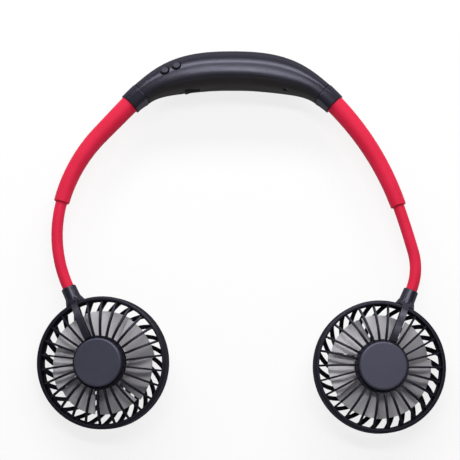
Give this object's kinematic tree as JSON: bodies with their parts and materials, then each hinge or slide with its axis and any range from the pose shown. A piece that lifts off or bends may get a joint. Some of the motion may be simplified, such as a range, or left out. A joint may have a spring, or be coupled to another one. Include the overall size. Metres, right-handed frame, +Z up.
{
  "type": "neck fan",
  "caption": "Hands-free neck fan: a crescent battery body worn at the nape, with bendable red arms that each carry a round caged fan head.",
  "frame": {"origin": "on the neck's axis, the centre of the body's curve, at the level of the table that the fan lies on", "axes": "+X to the right and +Y from the heads to the body as pictured, +Z up, out of the fronts of the heads"},
  "size_m": [0.2287, 0.2183, 0.0311],
  "materials": {
    "shell": "satin moulded, dark grey",
    "grille": "satin moulded, dark grey",
    "hub": "satin moulded, dark grey",
    "button": "fine matt",
    "silicone": "matt red silicone",
    "blade": "plain grey moulding",
    "steel": "plated",
    "black_steel": "black oxide",
    "cover": "matt moulded, dark grey",
    "brass": "turned",
    "gooseneck": "wound hose",
    "cell": "foil pouch",
    "board": "green circuit board",
    "switch": "black moulding",
    "lead": "black insulation",
    "magnet": "sintered",
    "end_cap": "white moulding",
    "winding": "enamelled copper on a laminated core"
  },
  "bodies": {
    "neck_body": {"outer_shell": "shell", "inner_shell": "cover", "shell_screws": "black_steel", "battery_cell": "cell", "control_board": "board", "tact_switches": "switch", "charge_board": "board", "charge_socket": "steel", "battery_leads": "lead", "left_body_lead": "lead", "left_collar": "shell", "left_anchor_ferrule": "brass", "left_grip_sleeve": "silicone", "left_hose_sleeve": "silicone", "left_arm_lead": "lead", "left_gooseneck": "gooseneck", "right_body_lead": "lead", "right_collar": "shell", "right_anchor_ferrule": "brass", "right_grip_sleeve": "silicone", "right_hose_sleeve": "silicone", "right_arm_lead": "lead", "right_gooseneck": "gooseneck"},
    "power_button": {"power_button": "button"},
    "speed_button": {"speed_button": "button"},
    "left_link_1": {"left_gooseneck_link_1": "gooseneck"},
    "left_link_2": {"left_gooseneck_link_2": "gooseneck"},
    "left_link_3": {"left_gooseneck_link_3": "gooseneck"},
    "left_arm_end": {"left_end_ferrule": "brass"},
    "left_head": {"left_front_grille": "grille", "left_rear_grille": "grille", "left_head_neck": "shell", "left_hub_cap": "hub", "left_motor_can": "steel", "left_motor_magnets": "magnet", "left_motor_end_cap": "end_cap", "left_motor_bushes": "brass", "left_motor_screws": "steel", "left_motor_lead": "lead"},
    "left_impeller": {"left_impeller": "blade", "left_motor_shaft": "steel", "left_motor_armature": "winding"},
    "right_link_1": {"right_gooseneck_link_1": "gooseneck"},
    "right_link_2": {"right_gooseneck_link_2": "gooseneck"},
    "right_link_3": {"right_gooseneck_link_3": "gooseneck"},
    "right_arm_end": {"right_end_ferrule": "brass"},
    "right_head": {"right_front_grille": "grille", "right_rear_grille": "grille", "right_head_neck": "shell", "right_hub_cap": "hub", "right_motor_can": "steel", "right_motor_magnets": "magnet", "right_motor_end_cap": "end_cap", "right_motor_bushes": "brass", "right_motor_screws": "steel", "right_motor_lead": "lead"},
    "right_impeller": {"right_impeller": "blade", "right_motor_shaft": "steel", "right_motor_armature": "winding"}
  },
  "joints": [
    {"name": "power_button_press", "type": "slide", "parent": "neck_body", "child": "power_button", "axis": [0.2006, -0.4244, -0.8829], "range_m": [0, 0.0004], "stiffness_N_per_m": 2000, "springref_m": -0.0003},
    {"name": "speed_button_press", "type": "slide", "parent": "neck_body", "child": "speed_button", "axis": [0.2006, -0.4244, -0.8829], "range_m": [0, 0.0004], "stiffness_N_per_m": 2000, "springref_m": -0.0003},
    {"name": "left_arm_swing_1", "type": "hinge", "parent": "neck_body", "child": "left_link_1", "pos_m": [-0.09788, -0.00731, 0.01658], "axis": [0, 0, 1], "range_deg": [-25, 25], "deforming": ["left_hose_sleeve", "left_arm_lead"]},
    {"name": "left_arm_lift_1", "type": "hinge", "parent": "left_link_1", "child": "left_link_2", "pos_m": [-0.09891, -0.0197, 0.01658], "axis": [-1, -0.0024, 0], "range_deg": [-25, 25], "deforming": ["left_hose_sleeve", "left_arm_lead"]},
    {"name": "left_arm_swing_2", "type": "hinge", "parent": "left_link_2", "child": "left_link_3", "pos_m": [-0.09782, -0.03209, 0.01658], "axis": [0, 0, 1], "range_deg": [-25, 25], "deforming": ["left_hose_sleeve", "left_arm_lead"]},
    {"name": "left_arm_lift_2", "type": "hinge", "parent": "left_link_3", "child": "left_arm_end", "pos_m": [-0.09466, -0.04412, 0.01658], "axis": [-0.9419, -0.336, 0], "range_deg": [-25, 25], "deforming": ["left_hose_sleeve", "left_arm_lead"]},
    {"name": "left_head_twist", "type": "hinge", "parent": "left_arm_end", "child": "left_head", "pos_m": [-0.09211, -0.05034, 0.01658], "axis": [0.421, -0.907, 0], "range_deg": [-45, 45]},
    {"name": "left_impeller_spin", "type": "hinge", "parent": "left_head", "child": "left_impeller", "pos_m": [-0.07241, -0.09279, 0.01658], "axis": [-0.1793, -0.0832, 0.9803], "continuous": true},
    {"name": "right_arm_swing_1", "type": "hinge", "parent": "neck_body", "child": "right_link_1", "pos_m": [0.09591, -0.00932, 0.01658], "axis": [0, 0, 1], "range_deg": [-25, 25], "deforming": ["right_hose_sleeve", "right_arm_lead"]},
    {"name": "right_arm_lift_1", "type": "hinge", "parent": "right_link_1", "child": "right_link_2", "pos_m": [0.09955, -0.02123, 0.01658], "axis": [-0.9604, -0.2786, 0], "range_deg": [-25, 25], "deforming": ["right_hose_sleeve", "right_arm_lead"]},
    {"name": "right_arm_swing_2", "type": "hinge", "parent": "right_link_2", "child": "right_link_3", "pos_m": [0.10271, -0.03326, 0.01658], "axis": [0, 0, 1], "range_deg": [-25, 25], "deforming": ["right_hose_sleeve", "right_arm_lead"]},
    {"name": "right_arm_lift_2", "type": "hinge", "parent": "right_link_3", "child": "right_arm_end", "pos_m": [0.10248, -0.04564, 0.01658], "axis": [-0.9796, 0.2011, 0], "range_deg": [-25, 25], "deforming": ["right_hose_sleeve", "right_arm_lead"]},
    {"name": "right_head_twist", "type": "hinge", "parent": "right_arm_end", "child": "right_head", "pos_m": [0.10049, -0.05205, 0.01658], "axis": [-0.3907, -0.9205, 0], "range_deg": [-45, 45]},
    {"name": "right_impeller_spin", "type": "hinge", "parent": "right_head", "child": "right_impeller", "pos_m": [0.0822, -0.09513, 0.01658], "axis": [0.1058, -0.0449, 0.9934], "continuous": true}
  ],
  "couplings": [
    {"joint": "left_arm_swing_2", "follows": "left_arm_swing_1", "ratio": 1},
    {"joint": "left_arm_lift_2", "follows": "left_arm_lift_1", "ratio": 1},
    {"joint": "right_arm_swing_2", "follows": "right_arm_swing_1", "ratio": 1},
    {"joint": "right_arm_lift_2", "follows": "right_arm_lift_1", "ratio": 1}
  ]
}
